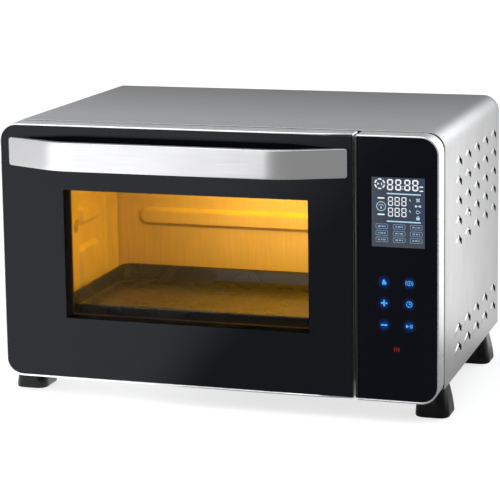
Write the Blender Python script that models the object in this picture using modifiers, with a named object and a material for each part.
"""Digital toaster oven with a drop-down glass door, built as separate pieces.

Metres, +Z up. The door faces -Y, the control panel is on the +X side, and the origin is on the
table under the middle of the whole oven.
"""

import math

import bmesh
import bpy
import numpy as np
from mathutils import Matrix

# Driving dimensions.
WIDTH = 0.500                # steel case across
CASE_DEPTH = 0.342           # front glass to the rear edge of the case
GLASS_BOTTOM = 0.025         # above the table
GLASS_HEIGHT = 0.2845
FRONT_Y = -0.1550            # plane of the front glass
RIM = 0.0021                 # bright edge of the two bezels
BEZEL_DEPTH = 0.0258
BEZEL_RADIUS = 0.020
DOOR_RIGHT = 0.1563
PANEL_LEFT = 0.1587
PANEL_EDGE = 0.0029          # light strip beside the control glass
CASE_TOP = 0.3121
CASE_BOTTOM = 0.0333
CASE_RADIUS = 0.019
SHEET = 0.0010               # case sheet
LINER = 0.0008               # cavity sheet
GAP = 0.0003                 # between touching pieces

# Door.
HINGE_Y = FRONT_Y + 0.023
HINGE_Z = 0.029
GLASS_THICK = 0.0040
WINDOW = (-0.1750, 0.1075, 0.0930, 0.2390)
HANDLE_CENTRE = -0.0427
HANDLE_HALF = 0.1943
HANDLE_RAMP = 0.048          # straight slope at each end
HANDLE_LEVEL = 0.085         # from each end to where the bar runs level
HANDLE_SCREW = 0.0075        # from each end to the screw there
HANDLE_REACH = 0.032
HANDLE_THICK = 0.009
HANDLE_END = 0.0037          # thickness at its tips
HANDLE_LOW = GLASS_BOTTOM + GLASS_HEIGHT - 0.0446
HANDLE_HIGH = GLASS_BOTTOM + GLASS_HEIGHT - 0.0130
STAY_RADIUS = 0.085
STAY_X = (-0.23875, 0.14075)
HINGE_X = (-0.2205, 0.1345)

# Cavity.
CAVITY_X = (-0.226, 0.126)
CAVITY_Y = (FRONT_Y + 0.030, FRONT_Y + 0.288)
CAVITY_Z = (0.052, 0.285)
PAD_DEPTH = 0.005            # how far the pressed pads of the side walls stand in
PAD_SLOPE = 0.003
BACK_PAD_INSET = 0.031
BACK_PAD_HEIGHTS = (0.144, 0.168)
BACK_PAD_DEPTH = 0.004
BACK_PAD_SLOPE = 0.006
PAD_COLUMNS = ((0.066, 0.128), (0.164, 0.226))        # behind the front glass
PAD_ROWS = ((0.086, 0.139), (0.163, 0.190), (0.214, 0.262))
SPIT_AT = (FRONT_Y + 0.146, 0.165)
FAN_AT = (FRONT_Y + 0.232, 0.222)
LAMP_AT = (FRONT_Y + 0.090, 0.236)
ELEMENT_LEGS = (FRONT_Y + 0.095, FRONT_Y + 0.235)
ELEMENT_Z = (0.065, 0.272)
ELEMENT_RADIUS = 0.0032
RACK_Z = 0.080
RACK_WIRE = 0.003

# Louvres of the two sides: rows below the top of the glass, columns behind the front glass.
LOUVRE_COLUMNS = 5
LOUVRE_FIRST = 0.103
LOUVRE_PITCH = 0.051
LOUVRE_ROW_PITCH = 0.0222
LOUVRE_GROUPS = ((0.0325, 5), (0.2203, 2))
LOUVRE_RUN = 0.0170          # the open slit runs back this far
LOUVRE_DROP = 0.0080         # and down this far
LOUVRE_OPEN = 0.0030

# Control panel.
LCD = (0.1774, 0.2347, 0.1924, 0.2672)

# Feet.
FOOT_HEIGHT = 0.0330
FOOT_BOTTOM = ((0.216, 0.254), (0.028, 0.073))        # across, and behind the front glass
FOOT_TOP = ((0.219, 0.2485), (0.0325, 0.0700))
FOOT_PITCH = 0.232

REAR_Y = FRONT_Y + 0.332
REAR_LOW = 0.0360
GLAND_AT = (0.205, 0.075)
REAR_SCREWS = ((-0.235, 0.050), (0.235, 0.050), (-0.225, 0.298), (0.225, 0.298))
REAR_VENTS = (0.165, 0.150)  # lower left one of 3 columns by 5 rows
REAR_VENT_PITCH = (0.026, 0.018)
REAR_VENT_HALF = (0.009, 0.0022)

for old in list(bpy.data.objects):
    bpy.data.objects.remove(old, do_unlink=True)

OVEN = bpy.data.collections.new("toaster_oven")
CUTTERS = bpy.data.collections.new("cutters")
bpy.context.scene.collection.children.link(OVEN)
bpy.context.scene.collection.children.link(CUTTERS)

TURN = {
    "X": (math.pi / 2, 0, math.pi / 2),
    "-X": (math.pi / 2, 0, -math.pi / 2),
    "Y": (math.pi / 2, 0, 0),
    "Z": (0, 0, 0),
}
FINISHES = {}


def finish(name, colour, roughness, metallic=0.0):
    """One Principled material, made the first time that it is asked for."""
    if name not in FINISHES:
        material = bpy.data.materials.new(name)
        material.use_nodes = True
        shader = material.node_tree.nodes["Principled BSDF"]
        shader.inputs["Base Color"].default_value = (*colour, 1)
        shader.inputs["Roughness"].default_value = roughness
        shader.inputs["Metallic"].default_value = metallic
        material.diffuse_color = (*colour, 1)
        FINISHES[name] = material
    return FINISHES[name]


def steel():
    return finish("brushed_steel", (0.62, 0.62, 0.63), 0.35, 1.0)


def bright():
    return finish("bright_trim", (0.80, 0.80, 0.80), 0.25, 1.0)


def liner():
    return finish("zinc_liner", (0.55, 0.55, 0.55), 0.4, 1.0)


def black_glass():
    return finish("black_glass", (0.02, 0.02, 0.025), 0.05)


def clear_glass():
    return finish("clear_glass", (0.85, 0.88, 0.88), 0.05)


def black_plastic():
    return finish("black_plastic", (0.015, 0.015, 0.015), 0.3)


def dark_enamel():
    return finish("dark_enamel", (0.03, 0.03, 0.03), 0.3)


def board_green():
    return finish("board_green", (0.03, 0.20, 0.08), 0.5)


def ceramic():
    return finish("ceramic", (0.85, 0.83, 0.78), 0.6)


def zinc():
    return finish("zinc_sheet", (0.5, 0.5, 0.5), 0.45, 1.0)


def screw_metal():
    return finish("screw", (0.3, 0.3, 0.3), 0.35, 1.0)


def motor_case():
    return finish("motor_case", (0.4, 0.4, 0.42), 0.4, 1.0)


def hinge_metal():
    return finish("hinge_steel", (0.45, 0.45, 0.45), 0.4, 1.0)


def add(name, data, material, place=(0, 0, 0), axis="Z", cutter=False):
    """Puts data in the scene as an object; a cutter is a wire helper that is left out of a render."""
    thing = bpy.data.objects.new(name, data)
    (CUTTERS if cutter else OVEN).objects.link(thing)
    thing.location = place
    thing.rotation_euler = TURN[axis]
    if cutter:
        thing.hide_render = True
        thing.display_type = "WIRE"
    else:
        data.materials.append(material)
    return thing


def smooth(mesh):
    """Round faces shaded smooth, with edges over 35 degrees kept sharp."""
    mesh.shade_smooth()
    mesh.set_sharp_from_angle(angle=math.radians(35))


def mesh_of(name, shape):
    mesh = bpy.data.meshes.new(name)
    shape.to_mesh(mesh)
    shape.free()
    return mesh


def box(name, low, high, material=None, bevel=0.0, cutter=False):
    """A box between two corners."""
    size = [b - a for a, b in zip(low, high)]
    shape = bmesh.new()
    bmesh.ops.create_cube(shape, size=1.0)
    bmesh.ops.scale(shape, vec=size, verts=shape.verts)
    middle = [(a + b) / 2 for a, b in zip(low, high)]
    thing = add(name, mesh_of(name, shape), material, middle, cutter=cutter)
    if bevel:
        edge = thing.modifiers.new("edge", "BEVEL")
        edge.width = bevel
        edge.segments = 2
    return thing


def rod(name, radius, span, axis, across, material=None, sides=20, cutter=False):
    """A cylinder along X, Y or Z; across is its place in the two other directions."""
    shape = bmesh.new()
    bmesh.ops.create_cone(
        shape, cap_ends=True, segments=sides, radius1=radius, radius2=radius, depth=span[1] - span[0]
    )
    mesh = mesh_of(name, shape)
    smooth(mesh)
    middle = (span[0] + span[1]) / 2
    place = list(across)
    place.insert("XYZ".index(axis), middle)
    return add(name, mesh, material, place, axis, cutter)


def arc(centre, radius, start, end, steps):
    """Points on an arc, from one angle to another in degrees."""
    angles = np.radians(np.linspace(start, end, steps + 1))
    return [(centre[0] + radius * math.cos(a), centre[1] + radius * math.sin(a)) for a in angles]


def circle(centre, radius, steps=16):
    return arc(centre, radius, 0, 360 * (steps - 1) / steps, steps - 1)


def rounded(x0, x1, y0, y1, radii, steps=6):
    """A rectangle with arcs at its corners, from the lower left one and anticlockwise."""
    corners = ((x0, y0, 1, 1, 180), (x1, y0, -1, 1, 270), (x1, y1, -1, -1, 0), (x0, y1, 1, -1, 90))
    points = []
    for (x, y, right, up, start), radius in zip(corners, radii):
        if radius:
            centre = (x + right * radius, y + up * radius)
            points += arc(centre, radius, start, start + 90, steps)
        else:
            points.append((x, y))
    return points


def outline(name, loops, span, axis, material=None, cutter=False):
    """A flat outline, its inner loops open, drawn out along its axis over span."""
    curve = bpy.data.curves.new(name, "CURVE")
    curve.dimensions = "2D"
    curve.fill_mode = "BOTH"
    curve.extrude = (span[1] - span[0]) / 2
    for loop in loops:
        spline = curve.splines.new("POLY")
        spline.points.add(len(loop) - 1)
        for point, (u, v) in zip(spline.points, loop):
            point.co = (u, v, 0, 1)
        spline.use_cyclic_u = True
    place = [0, 0, 0]
    place["XYZ".index(axis[-1])] = (span[0] + span[1]) / 2
    return add(name, curve, material, place, axis, cutter)


def as_mesh(thing):
    """Swaps a curve object for the same shape as a welded mesh, which can take a Boolean."""
    bpy.context.view_layer.update()
    graph = bpy.context.evaluated_depsgraph_get()
    mesh = bpy.data.meshes.new_from_object(thing.evaluated_get(graph))
    shape = bmesh.new()
    shape.from_mesh(mesh)
    bmesh.ops.remove_doubles(shape, verts=shape.verts, dist=1e-6)
    bmesh.ops.recalc_face_normals(shape, faces=shape.faces)
    shape.to_mesh(mesh)
    shape.free()
    name, collection = thing.name, thing.users_collection[0]
    matrix, hidden = thing.matrix_world.copy(), thing.hide_render
    bpy.data.objects.remove(thing, do_unlink=True)
    solid = bpy.data.objects.new(name, mesh)
    collection.objects.link(solid)
    solid.matrix_world = matrix
    solid.hide_render = hidden
    if hidden:
        solid.display_type = "WIRE"
    return solid


def boolean(thing, other, operation):
    change = thing.modifiers.new(operation.lower(), "BOOLEAN")
    change.operation = operation
    change.object = other


def turned(name, profile, axis, place, material, sides=24, closed=False):
    """A turned piece: its profile (radius, height) runs down its outer side, about its own Z."""
    shape = bmesh.new()
    verts = [shape.verts.new((r, 0, z)) for r, z in profile]
    for a, b in zip(verts, verts[1:]):
        shape.edges.new((a, b))
    if closed:
        shape.edges.new((verts[-1], verts[0]))
    thing = add(name, mesh_of(name, shape), material, place, axis)
    screw = thing.modifiers.new("turn", "SCREW")
    screw.steps = screw.render_steps = sides
    screw.use_merge_vertices = True
    screw.merge_threshold = 0.00001
    screw.use_smooth_shade = True
    return thing


def tube(name, points, radius, material, resolution=2):
    """A round wire or tube along its points."""
    curve = bpy.data.curves.new(name, "CURVE")
    curve.dimensions = "3D"
    curve.bevel_depth = radius
    curve.bevel_resolution = resolution
    curve.use_fill_caps = True
    spline = curve.splines.new("POLY")
    spline.points.add(len(points) - 1)
    for point, place in zip(spline.points, points):
        point.co = (*place, 1)
    return add(name, curve, material)


def pressed_sheet(name, sides, pads, depth, slope, axis, place, material):
    """A sheet in its own XY whose rectangular pads are pressed up along +Z, with sloping edges."""
    across = {sides[0], sides[1]}
    along = {sides[2], sides[3]}
    for u0, u1, v0, v1 in pads:
        across |= {u0, u0 + slope, u1 - slope, u1}
        along |= {v0, v0 + slope, v1 - slope, v1}
    lines = (sorted(across), sorted(along))
    shape = bmesh.new()
    bmesh.ops.create_grid(
        shape, x_segments=len(lines[0]) - 1, y_segments=len(lines[1]) - 1, size=1.0
    )
    for vert in shape.verts:
        column = round((vert.co.x + 1) / 2 * (len(lines[0]) - 1))
        row = round((vert.co.y + 1) / 2 * (len(lines[1]) - 1))
        u, v = lines[0][column], lines[1][row]
        inside = any(
            u0 + slope / 2 < u < u1 - slope / 2 and v0 + slope / 2 < v < v1 - slope / 2
            for u0, u1, v0, v1 in pads
        )
        vert.co = (u, v, depth if inside else 0)
    thing = add(name, mesh_of(name, shape), material, place, axis)
    wall = thing.modifiers.new("wall", "SOLIDIFY")
    wall.thickness = LINER
    wall.offset = -1
    return thing


def pan(name, low, high, lean, material, wall_thickness=0.0008):
    """An open tray: its walls lean out, and its sheet goes inwards from the outer faces."""
    shape = bmesh.new()
    bmesh.ops.create_cube(shape, size=1.0)
    size = [b - a for a, b in zip(low, high)]
    bmesh.ops.scale(shape, vec=size, verts=shape.verts)
    for vert in shape.verts:
        if vert.co.z < 0:
            vert.co.x -= math.copysign(lean, vert.co.x)
            vert.co.y -= math.copysign(lean, vert.co.y)
    bmesh.ops.delete(shape, geom=[f for f in shape.faces if f.normal.z > 0.9], context="FACES_ONLY")
    upright = [e for e in shape.edges if abs(e.verts[0].co.z - e.verts[1].co.z) > size[2] / 2]
    bmesh.ops.bevel(shape, geom=upright, offset=0.010, segments=3, profile=0.5, affect="EDGES")
    middle = [(a + b) / 2 for a, b in zip(low, high)]
    thing = add(name, mesh_of(name, shape), material, middle)
    wall = thing.modifiers.new("wall", "SOLIDIFY")
    wall.thickness = wall_thickness
    wall.offset = -1
    return thing


def joint_axis(name, place, *pieces):
    """An empty on a joint's axis that carries the pieces which move there."""
    empty = bpy.data.objects.new(name, None)
    OVEN.objects.link(empty)
    empty.location = place
    for piece in pieces:
        piece.parent = empty
        piece.matrix_parent_inverse = Matrix.Translation(place).inverted()


# ---------------------------------------------------------------- case

def outer_wrapper():
    """Top and both sides in one bent sheet, with feet of sheet turned in along the bottom."""
    flange = 0.012
    half = WIDTH / 2
    inner_radius = CASE_RADIUS - SHEET
    right = arc((half - CASE_RADIUS, CASE_TOP - CASE_RADIUS), CASE_RADIUS, 0, 90, 6)
    outer = [(half - flange, CASE_BOTTOM), (half, CASE_BOTTOM)] + right
    outer += [(-x, z) for x, z in reversed(outer)]
    bend = arc((half - CASE_RADIUS, CASE_TOP - CASE_RADIUS), inner_radius, 0, 90, 6)
    inner = [(half - flange, CASE_BOTTOM + LINER), (half - SHEET, CASE_BOTTOM + LINER)] + bend
    inner += [(-x, z) for x, z in reversed(inner)]
    span = (FRONT_Y + BEZEL_DEPTH + 0.0012, FRONT_Y + CASE_DEPTH)
    case = as_mesh(outline("outer_wrapper", [outer + inner[::-1]], span, "Y", steel()))
    shape = bmesh.new()
    slope = math.atan2(LOUVRE_DROP, LOUVRE_RUN)
    for first, rows in LOUVRE_GROUPS:
        for row in range(rows):
            for column in range(LOUVRE_COLUMNS):
                y = FRONT_Y + LOUVRE_FIRST + column * LOUVRE_PITCH + LOUVRE_RUN / 2
                z = GLASS_BOTTOM + GLASS_HEIGHT - first - row * LOUVRE_ROW_PITCH - LOUVRE_DROP / 2
                turn = Matrix.Translation((0, y, z)) @ Matrix.Rotation(-slope, 4, "X")
                size = (WIDTH + 0.02, math.hypot(LOUVRE_RUN, LOUVRE_DROP), LOUVRE_OPEN)
                bmesh.ops.create_cube(shape, size=1.0, matrix=turn @ Matrix.Diagonal((*size, 1)))
    boolean(case, add("louvre_cutter", mesh_of("louvre_cutter", shape), None, cutter=True), "DIFFERENCE")


def rear_panel():
    half = WIDTH / 2 - SHEET - GAP
    radius = CASE_RADIUS - SHEET - GAP
    loops = [rounded(-half, half, REAR_LOW, CASE_TOP - SHEET - GAP, (0, 0, radius, radius))]
    for row in range(5):
        for column in range(3):
            x = REAR_VENTS[0] + column * REAR_VENT_PITCH[0]
            z = REAR_VENTS[1] + row * REAR_VENT_PITCH[1]
            across, up = REAR_VENT_HALF
            loops.append(rounded(x - across, x + across, z - up, z + up, (0.002,) * 4, 2))
    loops.append(circle(GLAND_AT, 0.0062))
    loops += [circle(at, 0.0019, 8) for at in REAR_SCREWS]
    outline("rear_panel", loops, (REAR_Y, REAR_Y + SHEET), "Y", zinc())


def rear_screws():
    under, shank, length = GAP + SHEET, 0.0015, 0.0060
    head = [(0, 0.0033), (0.0030, 0.0033), (0.0036, under), (shank, under), (shank, -length), (0, -length)]
    # The turned Z points to -Y, so a screw whose head is behind the panel is turned over.
    profile = [(r, -h) for r, h in reversed(head)]
    for number, (x, z) in enumerate(REAR_SCREWS, 1):
        turned(f"rear_screw_{number}", profile, "Y", (x, REAR_Y, z), screw_metal(), 12)


def base_plate():
    loops = [rounded(-0.247, 0.247, FRONT_Y + 0.0300, FRONT_Y + 0.3310, (0.003,) * 4, 1)]
    for row in (0.120, 0.240):
        for column in range(5):
            x = 0.150 + column * 0.018
            y = FRONT_Y + row
            loops.append(rounded(x - 0.003, x + 0.003, y - 0.020, y + 0.020, (0.0025,) * 4, 2))
    low = CASE_BOTTOM + LINER + GAP
    outline("base_plate", loops, (low, low + SHEET), "Z", zinc())


def foot(name, side, row):
    """A block with rounded upright edges that widens towards the table."""
    shape = bmesh.new()
    bmesh.ops.create_cube(shape, size=1.0)
    for vert in shape.verts:
        across, behind = FOOT_TOP if vert.co.z > 0 else FOOT_BOTTOM
        x = side * (across[1] if vert.co.x * side > 0 else across[0])
        y = FRONT_Y + row * FOOT_PITCH + (behind[1] if vert.co.y > 0 else behind[0])
        vert.co = (x, y, FOOT_HEIGHT if vert.co.z > 0 else 0)
    upright = [e for e in shape.edges if abs(e.verts[0].co.z - e.verts[1].co.z) > FOOT_HEIGHT / 2]
    bmesh.ops.bevel(shape, geom=upright, offset=0.010, segments=4, profile=0.5, affect="EDGES")
    mesh = mesh_of(name, shape)
    smooth(mesh)
    add(name, mesh, finish("foot_plastic", (0.01, 0.01, 0.01), 0.15))


def front_frame():
    """The pressed plate that closes the front of the body round the cavity's mouth."""
    loops = [rounded(-0.2475, 0.2475, 0.046, 0.3075, (0.004, 0.004, 0.015, 0.015), 4)]
    loops.append([(-0.225, 0.053), (0.125, 0.053), (0.125, 0.284), (-0.225, 0.284)])
    loops.append([(0.172, 0.070), (0.238, 0.070), (0.238, 0.285), (0.172, 0.285)])
    for x in STAY_X:
        low = HINGE_Z + STAY_RADIUS - 0.0060
        high = HINGE_Z + STAY_RADIUS + 0.0055
        loops.append([(x - 0.0022, low), (x + 0.0022, low), (x + 0.0022, high), (x - 0.0022, high)])
    outline("front_frame", loops, (FRONT_Y + 0.0263, FRONT_Y + 0.0275), "Y", dark_enamel())


def cord_gland():
    """The bush that the mains lead leaves through; the lead itself isn't part of this model."""
    head = [(0.0035, 0.008), (0.0065, 0.008), (0.0090, GAP + SHEET), (0.0058, GAP + SHEET)]
    head += [(0.0058, -0.005), (0.0035, -0.005)]
    profile = [(r, -h) for r, h in reversed(head)]
    turned("cord_gland", profile, "Y", (GLAND_AT[0], REAR_Y, GLAND_AT[1]), black_plastic(), 20, closed=True)


# ---------------------------------------------------------------- cavity

def wall_pads(sign, keep):
    """Pads of a side wall in its own coordinates, where sign is -1 if they run from back to front."""
    pads = []
    for column, (near, far) in enumerate(PAD_COLUMNS):
        for row, (low, high) in enumerate(PAD_ROWS):
            if (column, row) in keep:
                u = sorted((sign * (FRONT_Y + near), sign * (FRONT_Y + far)))
                pads.append((u[0], u[1], low, high))
    return pads


def cavity_left_wall():
    pads = wall_pads(1, [(column, row) for column in range(2) for row in range(3)])
    sides = (CAVITY_Y[0], CAVITY_Y[1], CAVITY_Z[0], CAVITY_Z[1])
    pressed_sheet("cavity_left_wall", sides, pads, PAD_DEPTH, PAD_SLOPE, "X", (CAVITY_X[0], 0, 0), liner())


def cavity_right_wall():
    pads = wall_pads(-1, [(0, 0), (1, 0), (0, 1)])
    sides = (-CAVITY_Y[1], -CAVITY_Y[0], CAVITY_Z[0], CAVITY_Z[1])
    place = (CAVITY_X[1], 0, 0)
    wall = pressed_sheet("cavity_right_wall", sides, pads, PAD_DEPTH, PAD_SLOPE, "-X", place, liner())
    holes = [(FAN_AT, 0.0045), (SPIT_AT, 0.0085), (LAMP_AT, 0.0140)]
    holes += [((y, z), ELEMENT_RADIUS + 0.001) for y in ELEMENT_LEGS for z in ELEMENT_Z]
    shape = bmesh.new()
    for (y, z), radius in holes:
        turn = Matrix.Translation((CAVITY_X[1], y, z)) @ Matrix.Rotation(math.pi / 2, 4, "Y")
        bmesh.ops.create_cone(
            shape, cap_ends=True, segments=16, radius1=radius, radius2=radius, depth=0.03, matrix=turn
        )
    boolean(wall, add("wall_cutter", mesh_of("wall_cutter", shape), None, cutter=True), "DIFFERENCE")


def cavity_back():
    pad = (CAVITY_X[0] + BACK_PAD_INSET, CAVITY_X[1] - BACK_PAD_INSET, *BACK_PAD_HEIGHTS)
    sides = (CAVITY_X[0], CAVITY_X[1], CAVITY_Z[0], CAVITY_Z[1])
    place = (0, CAVITY_Y[1] + GAP, 0)
    pressed_sheet("cavity_back", sides, [pad], BACK_PAD_DEPTH, BACK_PAD_SLOPE, "Y", place, liner())


def cavity_plates():
    edge = LINER + GAP
    low = (CAVITY_X[0] - edge, CAVITY_Y[0] - 0.0015)
    high = (CAVITY_X[1] + edge, CAVITY_Y[1] + edge)
    top = CAVITY_Z[1] + GAP
    box("cavity_top", (*low, top), (*high, top + LINER), liner())
    floor = CAVITY_Z[0] - GAP
    box("cavity_floor", (*low, floor - LINER), (*high, floor), liner())


def crumb_tray():
    low = (CAVITY_X[0] + 0.004, CAVITY_Y[0] + 0.004, CAVITY_Z[0] + GAP)
    high = (CAVITY_X[1] - 0.004, CAVITY_Y[1] - 0.006, CAVITY_Z[0] + 0.0065)
    pan("crumb_tray", low, high, 0.002, finish("tray_steel", (0.45, 0.45, 0.45), 0.4, 1.0))


def heating_element(name, z):
    """A sheathed rod bent to a U, its two legs leaving through the right wall."""
    near, far = ELEMENT_LEGS
    bend = 0.030
    left = CAVITY_X[0] + 0.022
    end = CAVITY_X[1] + 0.010
    path = [(end, near)] + arc((left + bend, near + bend), bend, 270, 180, 7)
    path += arc((left + bend, far - bend), bend, 180, 90, 7) + [(end, far)]
    metal = finish("element_sheath", (0.25, 0.24, 0.23), 0.45, 1.0)
    tube(name, [(x, y, z) for x, y in path], ELEMENT_RADIUS, metal)


def element_clip(name, z, from_top):
    """A strip across both legs of an element, hung from the roof or stood on the floor."""
    x = CAVITY_X[0] + 0.150
    reach = ELEMENT_RADIUS + GAP
    near, far = ELEMENT_LEGS[0] - 0.008, ELEMENT_LEGS[1] + 0.008
    if from_top:
        low, high = z - 0.006, CAVITY_Z[1] - GAP
    else:
        low, high = CAVITY_Z[0] + 0.0080, z + 0.006
    loops = [[(near, low), (far, low), (far, high), (near, high)]]
    loops += [circle((y, z), reach, 12) for y in ELEMENT_LEGS]
    outline(name, loops, (x, x + 0.0015), "X", liner())


def convection_fan():
    """Blades and shaft in one, with the motor outside the cavity and a slotted guard inside it."""
    y, z = FAN_AT
    points = []
    blades = 6
    for blade in range(blades):
        start = 360 * blade / blades
        points += arc((y, z), 0.009, start, start + 34, 2)
        points += arc((y, z), 0.032, start + 40, start + 54, 2)
    wheel = as_mesh(outline("fan_blade", [points], (0.1140, 0.1205), "X", liner()))
    boolean(wheel, rod("fan_shaft_cutter", 0.0030, (0.1130, 0.1330), "X", FAN_AT, cutter=True), "UNION")
    slots = []
    for ring, count in ((0.014, 6), (0.025, 9)):
        for slot in range(count):
            start = 360 * slot / count + 7
            width = 360 / count * 0.62
            inner = arc((y, z), ring - 0.0035, start, start + width, 3)
            slots.append(inner + arc((y, z), ring + 0.0035, start + width, start, 3))
    disc = [circle(FAN_AT, 0.040, 32)] + slots
    guard = as_mesh(outline("fan_guard", disc, (0.1095, 0.1105), "X", liner()))
    skirt_loops = [circle(FAN_AT, 0.0392, 32), circle(FAN_AT, 0.0378, 32)]
    skirt = as_mesh(outline("fan_skirt_cutter", skirt_loops, (0.1100, CAVITY_X[1] - GAP), "X", cutter=True))
    boolean(guard, skirt, "UNION")
    start = CAVITY_X[1] + LINER + GAP
    case = [(0, -0.008), (0.0034, -0.008), (0.0034, 0), (0.0060, 0), (0.0060, -0.004)]
    case += [(0.0230, -0.004), (0.0230, -0.030), (0, -0.030)]
    turned("fan_motor", case, "-X", (start, y, z), motor_case(), 24)
    return wheel


def rotisserie():
    """The drive for a roasting spit: a motor outside, a square socket inside, and a rest opposite."""
    y, z = SPIT_AT
    square = 0.0034
    hole = [(y - square, z - square), (y + square, z - square)]
    hole += [(y + square, z + square), (y - square, z + square)]
    loops = [circle(SPIT_AT, 0.0072, 24), hole]
    socket = as_mesh(outline("spit_socket", loops, (0.1130, 0.1330), "X", bright()))
    boolean(socket, rod("spit_shaft_cutter", 0.0060, (0.1300, 0.1345), "X", SPIT_AT, cutter=True), "UNION")
    start = 0.1345 + GAP
    half = 0.025
    low = (start, y - half, z - half)
    box("spit_motor", low, (start + 0.022, y + half, z + half), motor_case(), 0.002)
    x = CAVITY_X[0] + GAP
    cradle = [(y - 0.011, z - 0.016), (y + 0.011, z - 0.016), (y + 0.011, z + 0.008)]
    cradle += arc(SPIT_AT, 0.0060, 0, -180, 6) + [(y - 0.011, z + 0.008)]
    outline("spit_rest", [cradle], (x, x + 0.0045), "X", liner())
    return socket


def lamp():
    y, z = LAMP_AT
    behind_wall = CAVITY_X[1] + LINER + GAP
    cup = [(0, -0.020), (0.0110, -0.020), (0.0110, 0), (0.0190, 0), (0.0190, -0.004)]
    cup += [(0.0140, -0.004), (0.0140, -0.026), (0, -0.026)]
    turned("lamp_holder", cup, "-X", (behind_wall, y, z), ceramic(), 24)
    bulb = arc((0, -0.0005), 0.0085, 90, -30, 4) + [(0.0060, -0.0100), (0.0060, -0.0190), (0, -0.0190)]
    turned("lamp_bulb", bulb, "-X", (CAVITY_X[1] + 0.001, y, z), finish("bulb", (1.0, 0.9, 0.6), 0.1), 20)
    shoulder = 0.0055
    outside = [(0, 0.0130), (0.0070, 0.0120), (0.0121, 0.0092), (0.0140, shoulder)]
    outside += [(0.0190, 0.0023), (0.0190, GAP)]
    inside = [(0.0125, GAP), (0.0125, shoulder), (0.0091, 0.0089), (0, 0.0115)]
    turned("lamp_cover", outside + inside, "-X", (CAVITY_X[1], y, z), clear_glass(), 24)


def temperature_probe():
    rod("temperature_probe", 0.0020, (-0.120, -0.040), "X", (CAVITY_Y[1] - 0.010, 0.258), liner(), 12)


def shelf():
    """The wire rack and the baking tray that stands on it."""
    low = (CAVITY_X[0] + 0.003, CAVITY_Y[0] + 0.006)
    high = (CAVITY_X[1] - 0.003, CAVITY_Y[1] - 0.012)
    shape = bmesh.new()
    bmesh.ops.create_grid(shape, x_segments=13, y_segments=3, size=0.5)
    size = (high[0] - low[0], high[1] - low[1], 1)
    bmesh.ops.scale(shape, vec=size, verts=shape.verts)
    middle = ((low[0] + high[0]) / 2, (low[1] + high[1]) / 2, RACK_Z)
    rack = add("wire_rack", mesh_of("wire_rack", shape), bright(), middle)
    wires = rack.modifiers.new("wires", "WIREFRAME")
    wires.thickness = RACK_WIRE
    wires.offset = 0
    wires.use_boundary = True
    wires.use_even_offset = True
    tray_low = (CAVITY_X[0] + 0.018, CAVITY_Y[0] + 0.014, RACK_Z + RACK_WIRE / 2 + GAP)
    tray_high = (CAVITY_X[1] - 0.022, CAVITY_Y[1] - 0.022, RACK_Z + 0.019)
    tray = pan("baking_tray", tray_low, tray_high, 0.006, dark_enamel())
    return rack, tray


# ---------------------------------------------------------------- door

def door_frame():
    """The bezel of the door: a bright rim that also forms its sides."""
    outer_radii = (BEZEL_RADIUS, 0.0012, 0.0012, BEZEL_RADIUS)
    inner_radii = (BEZEL_RADIUS - RIM, 0, 0, BEZEL_RADIUS - RIM)
    low, high = GLASS_BOTTOM - RIM, GLASS_BOTTOM + GLASS_HEIGHT + RIM
    outer = rounded(-WIDTH / 2, DOOR_RIGHT, low, high, outer_radii)
    inner = rounded(-WIDTH / 2 + RIM, DOOR_RIGHT - RIM, low + RIM, high - RIM, inner_radii)
    span = (FRONT_Y - 0.0006, FRONT_Y + BEZEL_DEPTH)
    frame = as_mesh(outline("door_frame", [outer, inner], span, "Y", bright()))
    notch_low = (DOOR_RIGHT - 0.006, FRONT_Y - 0.003, low + RIM)
    notch_high = (DOOR_RIGHT + 0.004, FRONT_Y + GLASS_THICK + GAP, high - RIM)
    boolean(frame, box("door_notch_cutter", notch_low, notch_high, cutter=True), "DIFFERENCE")
    return frame


def handle_screws_x():
    reach = HANDLE_HALF - HANDLE_SCREW
    return HANDLE_CENTRE - reach, HANDLE_CENTRE + reach


def door_glasses():
    middle = (HANDLE_LOW + HANDLE_HIGH) / 2
    low, high = GLASS_BOTTOM + GAP, GLASS_BOTTOM + GLASS_HEIGHT - GAP
    radius = BEZEL_RADIUS - RIM - GAP
    loops = [rounded(-WIDTH / 2 + RIM + GAP, DOOR_RIGHT - GAP, low, high, (radius, 0, 0, radius))]
    loops += [circle((x, middle), 0.0030, 12) for x in handle_screws_x()]
    outer = outline("outer_door_glass", loops, (FRONT_Y, FRONT_Y + GLASS_THICK), "Y", black_glass())
    left, right, bottom, top = WINDOW
    edge = 0.010
    pane_low = (left - edge, FRONT_Y + 0.0184, bottom - edge)
    pane_high = (right + edge, FRONT_Y + 0.0214, top + edge)
    inner = box("inner_door_glass", pane_low, pane_high, clear_glass())
    return outer, inner


def window_surround():
    left, right, bottom, top = WINDOW
    wall = 0.0025
    loops = [rounded(left - wall, right + wall, bottom - wall, top + wall, (0.002,) * 4, 2)]
    loops.append(rounded(left, right, bottom, top, (0,) * 4))
    span = (FRONT_Y + GLASS_THICK + GAP, FRONT_Y + 0.0181)
    return outline("window_surround", loops, span, "Y", finish("matt_black", (0.02, 0.02, 0.02), 0.5))


def inner_door_panel():
    left, right, bottom, top = WINDOW
    loops = [rounded(-0.2465, 0.1530, 0.0400, 0.3075, (0.010, 0.002, 0.002, 0.014), 4)]
    loops.append(rounded(left, right, bottom, top, (0,) * 4))
    return outline("inner_door_panel", loops, (FRONT_Y + 0.0222, FRONT_Y + 0.0240), "Y", dark_enamel())


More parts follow.
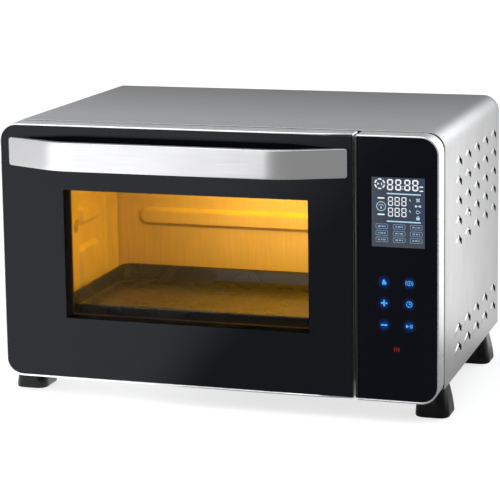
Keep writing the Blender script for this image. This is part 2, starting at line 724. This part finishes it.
def handle_bar():
    """A flat arched bar in plan: each end rises from the glass in a straight slope, then bends level.

    Its back lies on the glass until the bar is thick enough to leave it.
    """
    bend = HANDLE_LEVEL - HANDLE_RAMP
    slope = (HANDLE_REACH - HANDLE_END) / (HANDLE_RAMP + bend / 2)
    lift_off = (HANDLE_THICK + GAP - HANDLE_END) / slope
    profile = []
    for from_end in (0, lift_off, *np.linspace(HANDLE_RAMP, HANDLE_LEVEL, 8)):
        turned_in = max(from_end - HANDLE_RAMP, 0)
        rise = slope * (min(from_end, HANDLE_RAMP) + turned_in - turned_in ** 2 / (2 * bend))
        profile.append((from_end - HANDLE_HALF, HANDLE_END + rise))
    profile += [(-across, reach) for across, reach in reversed(profile)]
    front = [(HANDLE_CENTRE + across, FRONT_Y - reach) for across, reach in profile]
    back = [(x, min(y + HANDLE_THICK, FRONT_Y - GAP)) for x, y in reversed(front)]
    return outline("handle_bar", [front + back], (HANDLE_LOW, HANDLE_HIGH), "Z", steel())


def handle_screws():
    middle = (HANDLE_LOW + HANDLE_HIGH) / 2
    screws = []
    for name, x in zip(("handle_screw_left", "handle_screw_right"), handle_screws_x()):
        shank, head_at, end = 0.0024, GLASS_THICK + GAP, 0.0072
        profile = [(0, -GAP), (shank, -GAP), (shank, -head_at)]
        profile += [(0.0048, -head_at), (0.0042, -end), (0, -end)]
        screws.append(turned(name, profile, "Y", (x, FRONT_Y, middle), screw_metal(), 12))
    return screws


def hinge(side, x, towards):
    """Pin and lug of the door, with the bracket on the base that holds the pin and its spring."""
    name = ("left", "right")[side]
    at = (HINGE_Y, HINGE_Z)
    eye, bore = 0.0035, 0.0023
    metal = hinge_metal()
    pin_x = sorted((x - towards * 0.0110, x + towards * 0.0145))
    pin = rod(f"hinge_pin_{name}", 0.0020, pin_x, "X", at, metal, 12)
    # Both outlines are (behind, above) the hinge axis.
    lug = [(-eye, 0.0180), (-eye, 0)] + arc((0, 0), eye, 180, 360, 6)[1:-1]
    lug += [(0.7 * eye, 0), (-0.0012, 0.0100), (-0.0012, 0.0180)]
    lug_x = sorted((x - towards * 0.0095, x - towards * 0.0070))
    lug_loops = [[(HINGE_Y + v, HINGE_Z + w) for v, w in lug], circle(at, bore, 12)]
    lug_piece = outline(f"hinge_lug_{name}", lug_loops, lug_x, "X", metal)
    bracket = [(0.040, 0.0070), (0.040, 0.0150), (0.0060, 0.0150), (-0.0020, 0.0085), (-eye, 0)]
    bracket += arc((0, 0), eye, 180, 360, 6)[1:] + [(eye, 0.0045), (0.0060, 0.0070)]
    bracket_loops = [[(HINGE_Y + v, HINGE_Z + w) for v, w in bracket], circle(at, bore, 12)]
    outline(f"hinge_bracket_{name}", bracket_loops, (x - 0.0015, x + 0.0015), "X", metal)
    turns, per_turn, radius, length = 5, 8, 0.0029, 0.0090
    start = x + towards * 0.0030
    coil = []
    for step in range(turns * per_turn + 1):
        angle = 2 * math.pi * step / per_turn
        along = start + towards * length * step / (turns * per_turn)
        coil.append((along, HINGE_Y + radius * math.cos(angle), HINGE_Z + radius * math.sin(angle)))
    tube(f"hinge_spring_{name}", coil, 0.0005, metal, 1)
    return pin, lug_piece


def door_stay(name, x):
    """An arm curved about the hinge axis, which runs through the front frame and stops in it when open."""
    at = (HINGE_Y, HINGE_Z)
    arm, stop, half = 0.0040, 0.0080, 0.00125
    # Angles up from the level: where the arm meets the door, where its stop begins, and its end.
    root, stop_at, end = 89.1, 7.4, 5.4
    outer = arc(at, STAY_RADIUS + arm, root, stop_at, 12) + arc(at, STAY_RADIUS + stop, stop_at, end, 1)
    inner = arc(at, STAY_RADIUS - stop, end, stop_at, 1) + arc(at, STAY_RADIUS - arm, stop_at, root, 12)
    return outline(name, [outer + inner], (x - half, x + half), "X", hinge_metal())


# ---------------------------------------------------------------- control panel and electrics

def control_panel():
    low, high = GLASS_BOTTOM - RIM, GLASS_BOTTOM + GLASS_HEIGHT + RIM
    right = WIDTH / 2
    outer = rounded(PANEL_LEFT, right, low, high, (0.0012, BEZEL_RADIUS, BEZEL_RADIUS, 0.0012))
    radius = BEZEL_RADIUS - RIM
    strip = PANEL_LEFT + PANEL_EDGE
    inner = rounded(strip, right - RIM, low + RIM, high - RIM, (0, radius, radius, 0))
    outline("panel_frame", [outer, inner], (FRONT_Y - 0.0006, FRONT_Y + BEZEL_DEPTH), "Y", bright())
    radius -= GAP
    inset = RIM + GAP
    glass_left = strip + GAP
    glass = rounded(glass_left, right - inset, low + inset, high - inset, (0, radius, radius, 0))
    outline("control_glass", [glass], (FRONT_Y, FRONT_Y + 0.003), "Y", black_glass())
    left, right, bottom, top = LCD
    edge = 0.003
    module_low = (left - edge, FRONT_Y + 0.0033, bottom - edge)
    box("display_module", module_low, (right + edge, FRONT_Y + 0.0110, top + edge), black_plastic(), 0.001)
    board = [rounded(0.166, 0.244, 0.060, 0.296, (0.003,) * 4, 2)]
    board += [circle((x, z), 0.0017, 8) for x in (0.171, 0.239) for z in (0.066, 0.290)]
    outline("control_board", board, (FRONT_Y + 0.0140, FRONT_Y + 0.0156), "Y", board_green())


def power_electrics():
    y0, y1 = FRONT_Y + 0.060, FRONT_Y + 0.205
    board = [rounded(y0, y1, 0.060, 0.190, (0.003,) * 4, 2)]
    board += [circle((y, z), 0.0017, 8) for y in (y0 + 0.005, y1 - 0.005) for z in (0.065, 0.185)]
    outline("power_board", board, (0.2360, 0.2376), "X", board_green())
    low = (0.2020, y0 + 0.030, 0.085)
    box("relay_block", low, (0.2357, y0 + 0.085, 0.150), finish("relay", (0.02, 0.03, 0.05), 0.4), 0.002)
    low = (0.170, FRONT_Y + 0.275, 0.0360)
    box("transformer", low, (0.222, FRONT_Y + 0.318, 0.0760), motor_case(), 0.003)


outer_wrapper()
rear_panel()
rear_screws()
base_plate()
for word, row in (("front", 0), ("rear", 1)):
    foot(f"foot_{word}_left", -1, row)
    foot(f"foot_{word}_right", 1, row)
front_frame()
cord_gland()

cavity_left_wall()
cavity_right_wall()
cavity_back()
cavity_plates()
crumb_tray()
heating_element("lower_element", ELEMENT_Z[0])
heating_element("upper_element", ELEMENT_Z[1])
element_clip("lower_element_clip", ELEMENT_Z[0], False)
element_clip("upper_element_clip", ELEMENT_Z[1], True)
lamp()
temperature_probe()
joint_axis("fan_axis", (CAVITY_X[1], *FAN_AT), convection_fan())
joint_axis("spit_axis", (CAVITY_X[1], *SPIT_AT), rotisserie())
joint_axis("rack_axis", (0, CAVITY_Y[0], RACK_Z), *shelf())

control_panel()
power_electrics()

moving = [door_frame(), window_surround(), inner_door_panel(), handle_bar()]
moving += [*door_glasses(), *handle_screws()]
moving += hinge(0, HINGE_X[0], 1)
moving += hinge(1, HINGE_X[1], -1)
moving += [door_stay(name, x) for name, x in zip(("door_stay_left", "door_stay_right"), STAY_X)]
joint_axis("door_axis", (0, HINGE_Y, HINGE_Z), *moving)
